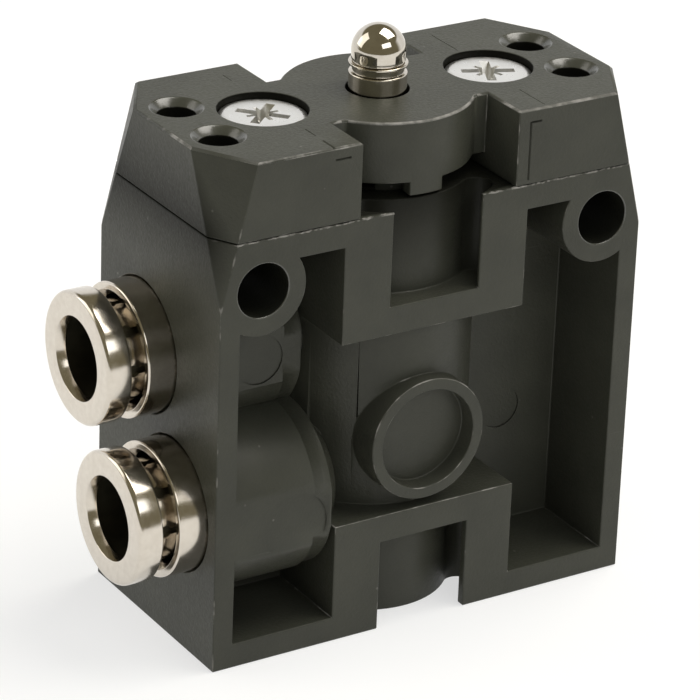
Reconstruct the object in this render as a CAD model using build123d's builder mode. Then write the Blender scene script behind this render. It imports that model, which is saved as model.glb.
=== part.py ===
from build123d import *

import os
from math import atan2, degrees, sqrt

# Miniature 3/2 poppet valve worked by a steel plunger, with two push-in tube fittings on its
# left side. Millimetres. +Z is up along the plunger, +X runs along the row of fixing holes, and
# the front face looks along -Y. The origin is the centre of the barrel's underside, on the
# plunger's axis. The supply fitting is the lower one, the outlet the upper one, and the exhaust
# leaves through the hollow stem and the gap under the cap's hub.

os.makedirs("parts", exist_ok=True)

# Clearances and fits
running_clearance = 0.05     # radial, between a sliding piece and its guide
seat_clearance = 0.03        # radial, round a piece that is pressed or dropped in for good
end_gap = 0.05               # between end faces that only just meet
lead_in = 0.12               # chamfer at the mouth of a bore

# Housing, shared by the body and the cap
width = 26.0
depth = 12.8
parting_height = 24.4
cap_height = 4.3
parting_line = 0.06          # open line between body and cap
corner_cut_x = 2.0           # what the sloping corner facets take off the top edges
corner_cut_y = 3.4
corner_cut_drop = 3.6        # from the parting plane down to where the facets run out
edge_break = 0.12            # small chamfer on the cap's top edge

# Body frame, open pockets on the front and on the back
side_wall = 1.2
top_rail = 1.4
bottom_rail = 1.4
web_thickness = 1.8
notch_width = 5.5            # open slots in the two U shaped frames
frame_arm = 2.9
frame_bar = 1.6
top_notch_depth = 5.35
bottom_notch_roof = 5.25

# Barrel, the upright cylinder round the valve's axis
barrel_top_wall = 1.35
barrel_mid_wall = 2.2
barrel_foot_wall = 2.0
barrel_floor = 1.5
relief_width = 1.6           # grooves between the frames and both ends of the barrel
top_relief_turn = 34.5       # degrees to each side of the front and of the back
foot_relief_turn = 43.5
boss_radius = 3.5            # round boss on the front of the barrel
boss_height = 10.8
boss_rim = 0.65
boss_recess = 1.1

# Fixing holes right through the body
fixing_edge = 2.5            # from the side of the body
fixing_drop = 2.8            # from the parting plane
fixing_hole_radius = 1.5
fixing_boss_radius = 2.55

# Push-in fittings, set off from the mid plane to opposite sides
port_offset = 1.8
supply_drop = 2.9            # from the seat ring's shoulder down to the supply port
tube_radius = 2.0
tube_clearance = 0.12
flow_radius = 1.0
socket_wall = 1.12
socket_length = 6.0
socket_step_length = 1.1
socket_step = 0.15
socket_cone_radius = 4.2
socket_cone_length = 1.2
cartridge_radius = 3.7
cartridge_proud = 1.6
cartridge_depth = 4.8        # inside the body
cartridge_wall = 0.4
throat_clearance = 0.2       # radial, round the collet's sleeve
mouth_length = 0.5
throat_length = 2.0
cam_length = 1.3
disc_radius = 3.65
disc_thickness = 1.4
disc_edge = 0.22
release_travel = 0.8
release_gap = 0.9            # between the disc and the cartridge at rest
sleeve_radius = 2.75
jaw_step = 0.35              # what the jaws stand out from the sleeve
jaw_length = 0.8
jaw_slope = 0.45
finger_count = 8
finger_slot = 0.38
finger_root = 0.25
tube_seal_section = 0.55
seal_chamber_length = 1.2
tube_pilot_length = 1.8
backing_thickness = 0.85

# Stack of valve pieces in the barrel, from the floor up
supply_bore_radius = 2.9
outlet_bore_radius = 3.4
top_bore_radius = 3.8
seat_height = 10.9           # shoulder that carries the seat ring
seat_ring_height = 2.2
carrier_thickness = 2.6
oring_section = 0.33
oring_groove = 1.0
oring_squeeze_gap = 0.02     # left between a ring and its groove or bore
seat_bore_radius = 1.5
seat_lip_width = 0.3
seat_lip_height = 0.2
cage_wall = 0.66
cage_flange = 0.6
cage_flange_radius = 1.5
cage_foot = 1.35             # ring below the windows, and the one above them
cage_head = 0.55
cage_window_width = 2.6
cage_window_height = 2.6
cage_windows = 4

# Poppet
poppet_rim = 0.3
poppet_cup_height = 1.2
poppet_rib_width = 0.8
poppet_ribs = 4
poppet_spigot_radius = 1.0
poppet_spigot_length = 1.8
poppet_seal_margin = 0.15    # past the seat's lip
poppet_seal_thickness = 0.9
poppet_seal_sunk = 0.45

# Exhaust stem and its seal
stem_radius = 1.1
stem_bore_radius = 0.5
stem_pre_travel = 0.65       # from the stem's tip to the poppet at rest
stem_vent_radius = 0.45
stem_vent_rise = 2.8         # above the seal carrier
stem_seal_radius = 2.17
stem_seal_height = 0.9
stem_seal_groove = 0.4
stem_press_depth = 1.8

# Plunger, drawn at rest
plunger_radius = 1.65
dome_radius = 1.5
dome_rise = 3.7              # both from the top of the cap
collar_rise = 1.45
collar_chamfer = 0.15
ring_groove_land = 0.2
ring_groove_width = 0.25
ring_groove_depth = 0.2
plunger_flange_clearance = 0.27
plunger_flange_thickness = 0.75
plunger_skirt_wall = 0.62
plunger_skirt_length = 2.0

# Coil springs
plunger_spring_wire = 0.4
plunger_spring_turns = 4.5
poppet_spring_wire = 0.3
poppet_spring_turns = 5.5
spring_clearance = 0.3       # radial, round the spigot that centres a spring
wire_side_count = 6
ring_side_count = 8
spring_nub_height = 0.8

# Cap
hub_radius = 5.2
hub_gap = 0.9                # open gap between the barrel and the hub, where exhaust leaves
hub_roof_thickness = 1.3
hub_fillet = 0.35
cap_notch_width = 9.6
cap_notch_land = 3.3         # from the mid plane to the inner flats of the notches
lug_width = 2.0
lug_length = 0.9
lug_drop = 0.75
spigot_wall = 0.85
vent_width = 1.6
vent_count = 4

# Cap screws and the four head fixing holes beside them
screw_edge = 6.0             # from the side of the cap
screw_head_radius = 2.28
screw_head_height = 1.4
screw_head_sunk = 0.35
screw_head_dome = 0.14
screw_shank_radius = 1.15
screw_length = 6.5
screw_tip = 0.5
screw_tip_gap = 0.4           # between the screw's point and the end of its pilot hole
screw_post_radius = 2.3
screw_post_length = 5.9
recess_width = 0.6
recess_length = 2.7
recess_depth = 0.8
recess_draft = 12
recess_turns = {-1: 43, 1: 66}
counterbore_clearance = 0.14
clearance_hole_extra = 0.15
head_hole_edge = 2.1         # from the side of the cap
head_hole_spacing_y = 4.4
head_hole_radius = 1.0
head_hole_sink_radius = 1.43
head_hole_depth = 3.6
right_angle = 90

# Round ejector pin marks left by moulding
mark_depth = 0.08
socket_mark_radius = 1.9
outlet_mark_radius = 1.4
web_mark_radius = 1.25
socket_mark_inset = 4.9      # from the left side
socket_mark_drop = 0.5       # below the port's axis
outlet_mark_inset = 4.55
web_mark_inset = 4.7         # from the right side
web_mark_height = 8.5

# Places worked out from the sizes above
height = parting_height + cap_height
half_width = width / 2
half_depth = depth / 2
notch_half = notch_width / 2
top_notch_floor = parting_height - top_notch_depth
barrel_top_radius = top_bore_radius + barrel_top_wall
barrel_mid_radius = outlet_bore_radius + barrel_mid_wall
barrel_foot_radius = supply_bore_radius + barrel_foot_wall
fixing_spacing = width - 2 * fixing_edge
fixing_height = parting_height - fixing_drop
frame_half = notch_half + frame_arm
top_bar_underside = top_notch_floor - frame_bar
bottom_bar_top = bottom_notch_roof + frame_bar
pocket_top = parting_height - top_rail
barrel_mid_low = bottom_notch_roof + frame_bar / 2
barrel_mid_high = top_notch_floor - frame_bar / 2
cartridge_bore_radius = cartridge_radius + seat_clearance
socket_radius = cartridge_bore_radius + socket_wall
socket_flat = half_depth - port_offset
throat_radius = sleeve_radius + throat_clearance
chamber_radius = cartridge_radius - cartridge_wall
jaw_radius = sleeve_radius + jaw_step
tube_bore_radius = tube_radius + tube_clearance
cartridge_inner_end = -half_width + cartridge_depth
seal_chamber_end = cartridge_inner_end + seal_chamber_length
tube_stop = seal_chamber_end + tube_pilot_length
tube_seal_radius = tube_radius + oring_squeeze_gap + tube_seal_section
seal_chamber_radius = tube_seal_radius + tube_seal_section + oring_squeeze_gap
disc_back = -half_width - cartridge_proud - release_gap
disc_face = disc_back - disc_thickness
mouth_face = -half_width - cartridge_proud
throat_start = mouth_face + mouth_length
cam_start = throat_start + throat_length
cam_end = cam_start + cam_length
backing_ring_face = cartridge_inner_end - backing_thickness
jaw_end = backing_ring_face - end_gap - release_travel

supply_height = seat_height - supply_drop
seat_ring_top = seat_height + seat_ring_height
outlet_height = seat_ring_top + cage_foot + cage_window_height / 2
carrier_height = seat_ring_top + cage_foot + cage_window_height + cage_head + cage_flange
ports = {"supply": (-port_offset, supply_height), "outlet": (port_offset, outlet_height)}
seat_lip_face = seat_height - seat_lip_height
poppet_face = seat_lip_face - end_gap
poppet_seal_radius = seat_bore_radius + seat_lip_width + poppet_seal_margin
poppet_cup_radius = poppet_seal_radius + poppet_rim
poppet_cup_top = poppet_face - poppet_seal_thickness + poppet_seal_sunk
poppet_cup_base = poppet_cup_top - poppet_cup_height
stem_tip = poppet_face + stem_pre_travel
carrier_top = carrier_height + carrier_thickness
spigot_foot = carrier_top + end_gap
spigot_radius = top_bore_radius - seat_clearance - running_clearance
cap_bore_radius = spigot_radius - spigot_wall
hub_floor = parting_height + hub_gap
hub_roof = height - hub_roof_thickness
waist_join = sqrt(hub_radius**2 - cap_notch_land**2)
flange_top = hub_roof - end_gap
flange_underside = flange_top - plunger_flange_thickness
skirt_foot = flange_underside - plunger_skirt_length
plunger_flange_radius = cap_bore_radius - plunger_flange_clearance
plunger_skirt_radius = stem_radius + seat_clearance + plunger_skirt_wall
plunger_spring_radius = plunger_skirt_radius + spring_clearance + plunger_spring_wire / 2
poppet_spring_radius = poppet_spigot_radius + spring_clearance + poppet_spring_wire / 2
collar_top = height + collar_rise
dome_top = height + dome_rise
ring_groove_top = collar_top - ring_groove_land
stem_vent_height = carrier_top + stem_vent_rise
stem_top = skirt_foot + stem_press_depth
screw_spacing = width - 2 * screw_edge
head_hole_spacing_x = width - 2 * head_hole_edge
screw_seat = height - screw_head_sunk - screw_head_height
counterbore_radius = screw_head_radius + counterbore_clearance
screw_point = screw_seat - screw_length
sealing_groove_depth = 2 * oring_section + oring_squeeze_gap
flat_turn = 2 * right_angle / ring_side_count    # turns a flat of a ring's section to its wall


def socket_plane(y, z, x=-half_width):
    """Plane square to a port's axis, with its normal pointing out of the body's left side."""
    return Plane(origin=(x, y, z), x_dir=(0, -1, 0), z_dir=(-1, 0, 0))


def corner_facets():
    """The four planes that slope off the housing's top corners, normals outwards."""
    planes = []
    for side in (-1, 1):
        for face in (-1, 1):
            apex = Vector(side * half_width, face * half_depth, parting_height - corner_cut_drop)
            along_x = Vector(side * (half_width - corner_cut_x), face * half_depth, height)
            along_y = Vector(side * half_width, face * (half_depth - corner_cut_y), height)
            normal = (along_x - apex).cross(along_y - apex)
            outwards = normal if normal.X * side > 0 else -normal
            planes.append(Plane(origin=apex, z_dir=outwards))
    return planes


def coil(radius, wire, low, high, turns):
    """A coil spring round the Z axis that fills the room between two heights."""
    centre_low = low + wire / 2
    centre_high = high - wire / 2
    with BuildPart() as spring:
        with BuildLine():
            path = Helix(
                pitch=(centre_high - centre_low) / turns,
                height=centre_high - centre_low,
                radius=radius,
                center=(0, 0, centre_low),
            )
        with BuildSketch(Plane(origin=path @ 0, z_dir=path % 0)):
            RegularPolygon(wire / 2, wire_side_count)
        sweep(is_frenet=True)
    return spring


# Body
with BuildPart() as body:
    with BuildSketch(Plane.XZ):
        with Locations((0, parting_height / 2)):
            Rectangle(width, parting_height)
    extrude(amount=web_thickness / 2, both=True)

    with BuildSketch(Plane.XZ) as face_frame:
        with Locations((0, parting_height / 2)):
            Rectangle(width, parting_height)
        with Locations((0, (pocket_top + bottom_rail) / 2)):
            Rectangle(width - 2 * side_wall, pocket_top - bottom_rail, mode=Mode.SUBTRACT)
        with Locations((0, (parting_height + top_bar_underside) / 2)):
            Rectangle(2 * frame_half, parting_height - top_bar_underside)
        with Locations((0, bottom_bar_top / 2)):
            Rectangle(2 * frame_half, bottom_bar_top)
        with Locations((0, fixing_height)):
            with GridLocations(fixing_spacing, 0, 2, 1):
                Circle(fixing_boss_radius)
        with Locations((0, (parting_height + top_notch_floor) / 2)):
            Rectangle(notch_width, parting_height - top_notch_floor, mode=Mode.SUBTRACT)
        with Locations((0, bottom_notch_roof / 2)):
            Rectangle(notch_width, bottom_notch_roof, mode=Mode.SUBTRACT)
    extrude(amount=half_depth, both=True)

    for radius, low, high in (
        (barrel_foot_radius, 0, barrel_mid_low),
        (barrel_mid_radius, barrel_mid_low, barrel_mid_high),
        (barrel_top_radius, barrel_mid_high, parting_height),
    ):
        with BuildSketch(Plane.XY.offset(low)):
            Circle(radius)
        extrude(amount=high - low)

    with BuildSketch(Plane.XY.offset(parting_height - screw_post_length)):
        with GridLocations(screw_spacing, 0, 2, 1):
            Circle(screw_post_radius)
    extrude(amount=screw_post_length)

    for port_y, port_z in ports.values():
        with BuildSketch(socket_plane(port_y, port_z)):
            Circle(socket_radius)
            Rectangle(2 * socket_flat, 2 * socket_radius, mode=Mode.INTERSECT)
        extrude(amount=-socket_length)
        step_face = -half_width + socket_length
        with BuildSketch(socket_plane(port_y, port_z, step_face)):
            Circle(socket_radius - socket_step)
            Rectangle(2 * socket_flat, 2 * socket_radius, mode=Mode.INTERSECT)
        extrude(amount=-socket_step_length)
        cone_face = step_face + socket_step_length
        with BuildSketch(socket_plane(port_y, port_z, cone_face)):
            Circle(socket_cone_radius)
        with BuildSketch(socket_plane(port_y, port_z, cone_face + socket_cone_length)):
            Circle(socket_cone_radius - socket_cone_length)
        loft()

    with BuildSketch(Plane.XZ.offset(half_depth)):
        with Locations((0, boss_height)):
            Circle(boss_radius)
    extrude(amount=-half_depth)

    with BuildSketch():
        Rectangle(width, depth)
    extrude(amount=parting_height, mode=Mode.INTERSECT)

    for low, tall, radius, turn in (
        (0, bottom_notch_roof, barrel_foot_radius, foot_relief_turn),
        (top_notch_floor, top_notch_depth, barrel_top_radius, top_relief_turn),
    ):
        with BuildSketch(Plane.XY.offset(low)):
            for middle in (-right_angle, right_angle):
                groove = CenterArc((0, 0), radius + relief_width / 2, middle - turn, 2 * turn)
                SlotArc(groove, relief_width)
            Circle(radius, mode=Mode.SUBTRACT)
        extrude(amount=tall, mode=Mode.SUBTRACT)

    with BuildSketch(Plane.XZ.offset(half_depth)):
        with Locations((0, boss_height)):
            Circle(boss_radius - boss_rim)
    extrude(amount=-boss_recess, mode=Mode.SUBTRACT)

    with Locations((0, 0, parting_height)):
        Hole(supply_bore_radius, depth=parting_height - barrel_floor)
        Hole(outlet_bore_radius, depth=parting_height - seat_height)
        Hole(top_bore_radius, depth=parting_height - carrier_height)
    with BuildSketch(Plane.XY.offset(barrel_floor)):
        Circle(poppet_spigot_radius)
    extrude(amount=spring_nub_height)

    for port_y, port_z in ports.values():
        with Locations(socket_plane(port_y, port_z)):
            Hole(cartridge_bore_radius, depth=cartridge_depth)
            Hole(seal_chamber_radius, depth=seal_chamber_end + half_width)
            Hole(tube_bore_radius, depth=tube_stop + half_width)
            Hole(flow_radius, depth=half_width)

    with BuildSketch(Plane.XZ):
        with Locations((0, fixing_height)):
            with GridLocations(fixing_spacing, 0, 2, 1):
                Circle(fixing_hole_radius)
    extrude(amount=half_depth, both=True, mode=Mode.SUBTRACT)

    with Locations((0, 0, parting_height)):
        with GridLocations(screw_spacing, 0, 2, 1):
            Hole(
                screw_shank_radius + seat_clearance,
                depth=parting_height - screw_point + screw_tip_gap,
            )

    with BuildSketch(Plane.XZ.offset(half_depth)):
        with Locations((socket_mark_inset - half_width, supply_height - socket_mark_drop)):
            Circle(socket_mark_radius)
    extrude(amount=-mark_depth, mode=Mode.SUBTRACT)
    with BuildSketch(Plane.XZ.offset(socket_flat - port_offset)):
        with Locations((outlet_mark_inset - half_width, outlet_height)):
            Circle(outlet_mark_radius)
    extrude(amount=-mark_depth, mode=Mode.SUBTRACT)
    with BuildSketch(Plane.XZ.offset(web_thickness / 2)):
        with Locations((half_width - web_mark_inset, web_mark_height)):
            Circle(web_mark_radius)
    extrude(amount=-mark_depth, mode=Mode.SUBTRACT)

    for facet in corner_facets():
        split(bisect_by=facet, keep=Keep.BOTTOM)

    mouths = body.edges().filter_by(GeomType.CIRCLE).filter_by(
        lambda edge: abs(edge.center().X + half_width) < lead_in / 2
        and abs(edge.radius - cartridge_bore_radius) < lead_in / 2
    )
    chamfer(mouths, lead_in)
body.part.label = "body"
export_step(body.part, "parts/body.step")

# Cap
with BuildPart() as cap:
    with BuildSketch(Plane.XY.offset(parting_height + parting_line)) as footprint:
        Rectangle(width, depth)
        for face in (-1, 1):
            with Locations((0, face * (half_depth + cap_notch_land) / 2)):
                Rectangle(cap_notch_width, half_depth - cap_notch_land, mode=Mode.SUBTRACT)
        Circle(hub_radius)
        joins = footprint.vertices().filter_by(
            lambda point: abs(abs(point.X) - waist_join) < lead_in
            and abs(abs(point.Y) - cap_notch_land) < lead_in
        )
        fillet(joins, hub_fillet)
    extrude(amount=height - parting_height - parting_line)

    with BuildSketch(Plane.XY.offset(parting_height)):
        Rectangle(cap_notch_width, depth)
    extrude(amount=hub_floor - parting_height, mode=Mode.SUBTRACT)

    with BuildSketch(Plane.XY.offset(hub_floor)):
        Circle(hub_radius)
        with Locations((0, -hub_radius)):
            Rectangle(lug_width, 2 * lug_length, mode=Mode.INTERSECT)
    extrude(amount=-lug_drop)

    with BuildSketch(Plane.XY.offset(spigot_foot)):
        Circle(spigot_radius)
    extrude(amount=hub_floor - spigot_foot)

    with Locations((0, 0, height)):
        Hole(plunger_radius + running_clearance)
    with BuildSketch(Plane.XY.offset(spigot_foot)):
        Circle(cap_bore_radius)
    extrude(amount=hub_roof - spigot_foot, mode=Mode.SUBTRACT)

    vent_height = hub_floor - parting_height - 2 * parting_line
    with PolarLocations(spigot_radius, vent_count, start_angle=right_angle / 2):
        with Locations((0, 0, hub_floor - vent_height / 2)):
            Box(4 * spigot_wall, vent_width, vent_height, mode=Mode.SUBTRACT)

    with Locations((0, 0, height)):
        with GridLocations(screw_spacing, 0, 2, 1):
            CounterBoreHole(
                screw_shank_radius + clearance_hole_extra,
                counterbore_radius,
                screw_head_sunk + screw_head_height,
            )
        with GridLocations(head_hole_spacing_x, head_hole_spacing_y, 2, 2):
            CounterSinkHole(
                head_hole_radius,
                head_hole_sink_radius,
                depth=head_hole_depth,
                counter_sink_angle=right_angle,
            )

    for facet in corner_facets():
        split(bisect_by=facet, keep=Keep.BOTTOM)
    chamfer(cap.faces().sort_by(Axis.Z)[-1].outer_wire().edges(), edge_break)
cap.part.label = "cap"
export_step(cap.part, "parts/cap.step")

# Cap screws, one node of two
with BuildPart() as cap_screws:
    with GridLocations(screw_spacing, 0, 2, 1):
        with Locations((0, 0, screw_seat)):
            Cylinder(
                screw_head_radius,
                screw_head_height,
                align=(Align.CENTER, Align.CENTER, Align.MIN),
            )
            Cylinder(
                screw_shank_radius,
                screw_length,
                align=(Align.CENTER, Align.CENTER, Align.MAX),
            )
    head_rims = cap_screws.edges().filter_by(GeomType.CIRCLE).group_by(Axis.Z)[-1]
    chamfer(head_rims, screw_head_dome, 2 * screw_head_dome)
    points = cap_screws.edges().filter_by(GeomType.CIRCLE).group_by(Axis.Z)[0]
    chamfer(points, screw_tip)
    for side, turn in recess_turns.items():
        with BuildSketch(Plane.XY.offset(height - screw_head_sunk)):
            with Locations(Location((side * screw_spacing / 2, 0, 0), (0, 0, turn))):
                Rectangle(recess_length, recess_width)
                Rectangle(recess_width, recess_length)
        extrude(amount=-recess_depth, taper=recess_draft, mode=Mode.SUBTRACT)
cap_screws.part.label = "cap_screws"
export_step(cap_screws.part, "parts/cap_screws.step")

# Plunger: dome, grooved collar, stop flange and the skirt that holds the stem
with BuildPart() as plunger:
    with BuildSketch(Plane.XZ):
        with BuildLine():
            foot = Line((0, skirt_foot), (plunger_skirt_radius, skirt_foot))
            outline = Polyline(
                foot @ 1,
                (plunger_skirt_radius, flange_underside),
                (plunger_flange_radius, flange_underside),
                (plunger_flange_radius, flange_top),
                (plunger_radius, flange_top),
                (plunger_radius, ring_groove_top - ring_groove_width),
                (plunger_radius - ring_groove_depth, ring_groove_top - ring_groove_width),
                (plunger_radius - ring_groove_depth, ring_groove_top),
                (plunger_radius, ring_groove_top),
                (plunger_radius, collar_top - collar_chamfer),
                (dome_radius, collar_top),
                (dome_radius, dome_top - dome_radius),
            )
            dome = RadiusArc(outline @ 1, (0, dome_top), -dome_radius)
            Line(dome @ 1, foot @ 0)
        make_face()
    revolve(axis=Axis.Z)
    with BuildSketch(Plane.XY.offset(skirt_foot)):
        Circle(stem_radius + seat_clearance)
    extrude(amount=stem_press_depth + end_gap, mode=Mode.SUBTRACT)
plunger.part.label = "plunger"
export_step(plunger.part, "parts/plunger.step")

# Exhaust stem, hollow up to its cross hole
with BuildPart() as exhaust_stem:
    with BuildSketch(Plane.XY.offset(stem_tip)):
        Circle(stem_radius)
    extrude(amount=stem_top - stem_tip)
    with BuildSketch(Plane.XY.offset(stem_tip)):
        Circle(stem_bore_radius)
    extrude(amount=stem_vent_height - stem_tip, mode=Mode.SUBTRACT)
    with BuildSketch(Plane.YZ):
        with Locations((0, stem_vent_height)):
            Circle(stem_vent_radius)
    extrude(amount=stem_radius, both=True, mode=Mode.SUBTRACT)
exhaust_stem.part.label = "exhaust_stem"
export_step(exhaust_stem.part, "parts/exhaust_stem.step")

# Plunger spring, between the seal carrier and the plunger's flange
plunger_spring = coil(
    plunger_spring_radius, plunger_spring_wire, carrier_top, flange_underside, plunger_spring_turns
)
plunger_spring.part.label = "plunger_spring"
export_step(plunger_spring.part, "parts/plunger_spring.step")

# Seal carrier, the disc that closes the outlet chamber and holds both stem and bore seals
with BuildPart() as seal_carrier:
    with BuildSketch(Plane.XY.offset(carrier_height)):
        Circle(top_bore_radius - seat_clearance)
    extrude(amount=carrier_thickness)
    with Locations((0, 0, carrier_top)):
        Hole(stem_radius + running_clearance)
    with BuildSketch(Plane.XY.offset(carrier_height)):
        Circle(stem_seal_radius + seat_clearance)
    extrude(amount=stem_seal_height + 2 * end_gap, mode=Mode.SUBTRACT)
    with BuildSketch(Plane.XY.offset(carrier_height + carrier_thickness / 2 - oring_groove / 2)):
        Circle(top_bore_radius)
        Circle(top_bore_radius - sealing_groove_depth - oring_squeeze_gap, mode=Mode.SUBTRACT)
    extrude(amount=oring_groove, mode=Mode.SUBTRACT)
seal_carrier.part.label = "seal_carrier"
export_step(seal_carrier.part, "parts/seal_carrier.step")

# Stem seal, a lip ring with its groove turned to the pressure below
with BuildPart() as stem_seal:
    inner = stem_radius + seat_clearance
    middle = (inner + stem_seal_radius) / 2
    low = carrier_height + end_gap
    with BuildSketch(Plane.XZ):
        with BuildLine():
            Polyline(
                (inner, low),
                (middle, low + stem_seal_groove),
                (stem_seal_radius, low),
                (stem_seal_radius, low + stem_seal_height),
                (inner, low + stem_seal_height),
                close=True,
            )
        make_face()
    revolve(axis=Axis.Z)
stem_seal.part.label = "stem_seal"
export_step(stem_seal.part, "parts/stem_seal.step")

# Spacer cage, which clamps the seat ring and lets the outlet air through its windows
with BuildPart() as spacer_cage:
    cage_radius = outlet_bore_radius - seat_clearance
    cage_height = carrier_height - seat_ring_top
    with BuildSketch(Plane.XY.offset(seat_ring_top)):
        Circle(cage_radius)
        Circle(cage_radius - cage_wall, mode=Mode.SUBTRACT)
    extrude(amount=cage_height)
    with BuildSketch(Plane.XY.offset(carrier_height - cage_flange)):
        Circle(cage_radius)
        Circle(cage_flange_radius, mode=Mode.SUBTRACT)
    extrude(amount=cage_flange)
    outlet_bearing = degrees(atan2(port_offset, -outlet_bore_radius))
    with PolarLocations(cage_radius, cage_windows, start_angle=outlet_bearing):
        with Locations((0, 0, outlet_height)):
            Box(4 * cage_wall, cage_window_width, cage_window_height, mode=Mode.SUBTRACT)
spacer_cage.part.label = "spacer_cage"
export_step(spacer_cage.part, "parts/spacer_cage.step")

# Seat ring, with the raised lip that the poppet closes on
with BuildPart() as seat_ring:
    with BuildSketch(Plane.XY.offset(seat_height)):
        Circle(outlet_bore_radius - seat_clearance)
    extrude(amount=seat_ring_height)
    with BuildSketch(Plane.XY.offset(seat_height)):
        Circle(seat_bore_radius + seat_lip_width)
    extrude(amount=-seat_lip_height)
    with Locations((0, 0, seat_ring_top)):
        Hole(seat_bore_radius)
    with BuildSketch(Plane.XY.offset(seat_height + seat_ring_height / 2 - oring_groove / 2)):
        Circle(outlet_bore_radius)
        Circle(outlet_bore_radius - sealing_groove_depth - oring_squeeze_gap, mode=Mode.SUBTRACT)
    extrude(amount=oring_groove, mode=Mode.SUBTRACT)
seat_ring.part.label = "seat_ring"
export_step(seat_ring.part, "parts/seat_ring.step")

# Static rings in the two grooves
for name, bore_radius, middle in (
    ("carrier_oring", top_bore_radius, carrier_height + carrier_thickness / 2),
    ("seat_oring", outlet_bore_radius, seat_height + seat_ring_height / 2),
):
    with BuildPart() as oring:
        with BuildSketch(Plane.XZ):
            with Locations((bore_radius - oring_squeeze_gap - oring_section, middle)):
                RegularPolygon(oring_section, ring_side_count, major_radius=False, rotation=flat_turn)
        revolve(axis=Axis.Z)
    oring.part.label = name
    export_step(oring.part, f"parts/{name}.step")

# Poppet, a cup with guide ribs and a spigot for its spring
with BuildPart() as poppet:
    with BuildSketch(Plane.XY.offset(poppet_cup_base)):
        Circle(poppet_cup_radius)
        with PolarLocations(0, poppet_ribs, start_angle=right_angle / 2):
            with Locations((poppet_cup_radius / 2, 0)):
                Rectangle(poppet_cup_radius + 2 * poppet_seal_sunk, poppet_rib_width)
        Circle(supply_bore_radius - running_clearance, mode=Mode.INTERSECT)
    extrude(amount=poppet_cup_height)
    with BuildSketch(Plane.XY.offset(poppet_cup_base)):
        Circle(poppet_spigot_radius)
    extrude(amount=-poppet_spigot_length)
    with BuildSketch(Plane.XY.offset(poppet_cup_top)):
        Circle(poppet_seal_radius + seat_clearance)
    extrude(amount=-poppet_seal_sunk, mode=Mode.SUBTRACT)
poppet.part.label = "poppet"
export_step(poppet.part, "parts/poppet.step")

# Poppet seal, the rubber disc bedded in the cup
with BuildPart() as poppet_seal:
    with BuildSketch(Plane.XY.offset(poppet_face - poppet_seal_thickness)):
        Circle(poppet_seal_radius)
    extrude(amount=poppet_seal_thickness)
poppet_seal.part.label = "poppet_seal"
export_step(poppet_seal.part, "parts/poppet_seal.step")

# Poppet spring, between the barrel's floor and the cup
poppet_spring = coil(
    poppet_spring_radius, poppet_spring_wire, barrel_floor, poppet_cup_base, poppet_spring_turns
)
poppet_spring.part.label = "poppet_spring"
export_step(poppet_spring.part, "parts/poppet_spring.step")

# Push-in fittings: cartridge, collet, backing ring and tube seal for each port
for port, (port_y, port_z) in ports.items():
    port_axis = Axis((0, port_y, port_z), (1, 0, 0))
    port_section = Plane(origin=(0, port_y, port_z), x_dir=(1, 0, 0), z_dir=(0, -1, 0))

    with BuildPart() as cartridge:
        with BuildSketch(port_section):
            with BuildLine():
                Polyline(
                    (mouth_face, chamber_radius),
                    (throat_start, throat_radius),
                    (cam_start, throat_radius),
                    (cam_end, chamber_radius),
                    (cartridge_inner_end, chamber_radius),
                    (cartridge_inner_end, cartridge_radius),
                    (mouth_face + lead_in, cartridge_radius),
                    (mouth_face, cartridge_radius - lead_in),
                    close=True,
                )
            make_face()
        revolve(axis=port_axis)
    cartridge.part.label = f"{port}_cartridge"
    export_step(cartridge.part, f"parts/{port}_cartridge.step")

    with BuildPart() as collet:
        with BuildSketch(port_section):
            with BuildLine():
                Polyline(
                    (disc_face, tube_bore_radius),
                    (disc_face, disc_radius - disc_edge),
                    (disc_face + disc_edge, disc_radius),
                    (disc_back, disc_radius),
                    (disc_back, sleeve_radius),
                    (jaw_end - jaw_length - jaw_slope, sleeve_radius),
                    (jaw_end - jaw_length, jaw_radius),
                    (jaw_end, jaw_radius),
                    (jaw_end, tube_bore_radius),
                    close=True,
                )
            make_face()
        revolve(axis=port_axis)
        slot_start = disc_back + finger_root
        with BuildSketch(socket_plane(port_y, port_z, slot_start)):
            with PolarLocations(0, finger_count):
                with Locations(((tube_bore_radius + jaw_radius) / 2, 0)):
                    Rectangle(2 * (jaw_radius - tube_bore_radius), finger_slot)
        extrude(amount=slot_start - jaw_end, mode=Mode.SUBTRACT)
    collet.part.label = f"{port}_collet"
    export_step(collet.part, f"parts/{port}_collet.step")

    with BuildPart() as backing_ring:
        with BuildSketch(socket_plane(port_y, port_z, cartridge_inner_end)):
            Circle(chamber_radius - seat_clearance)
            Circle(tube_bore_radius, mode=Mode.SUBTRACT)
        extrude(amount=backing_thickness)
    backing_ring.part.label = f"{port}_backing_ring"
    export_step(backing_ring.part, f"parts/{port}_backing_ring.step")

    with BuildPart() as tube_seal:
        with BuildSketch(port_section):
            with Locations(((cartridge_inner_end + seal_chamber_end) / 2, tube_seal_radius)):
                RegularPolygon(
                    tube_seal_section, ring_side_count, major_radius=False, rotation=flat_turn
                )
        revolve(axis=port_axis)
    tube_seal.part.label = f"{port}_tube_seal"
    export_step(tube_seal.part, f"parts/{port}_tube_seal.step")
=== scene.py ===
# %% [markdown]
# # A miniature plunger valve
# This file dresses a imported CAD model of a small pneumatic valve: a black moulded housing with a
# screwed cap, a domed steel plunger and two nickel plated push-in fittings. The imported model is
# loaded first and stays where it is. Each visible piece is then built around it, or takes the
# solid's own shape and gets its finish. Blender works in metres here, while a valve this small is
# easier to think of in millimetres, so pieces are built in millimetres and scaled once at the end.

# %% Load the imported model
from math import cos, pi, radians, sin, tan
from random import Random

import bmesh
import bpy
from mathutils import Euler, Matrix, Vector


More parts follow.
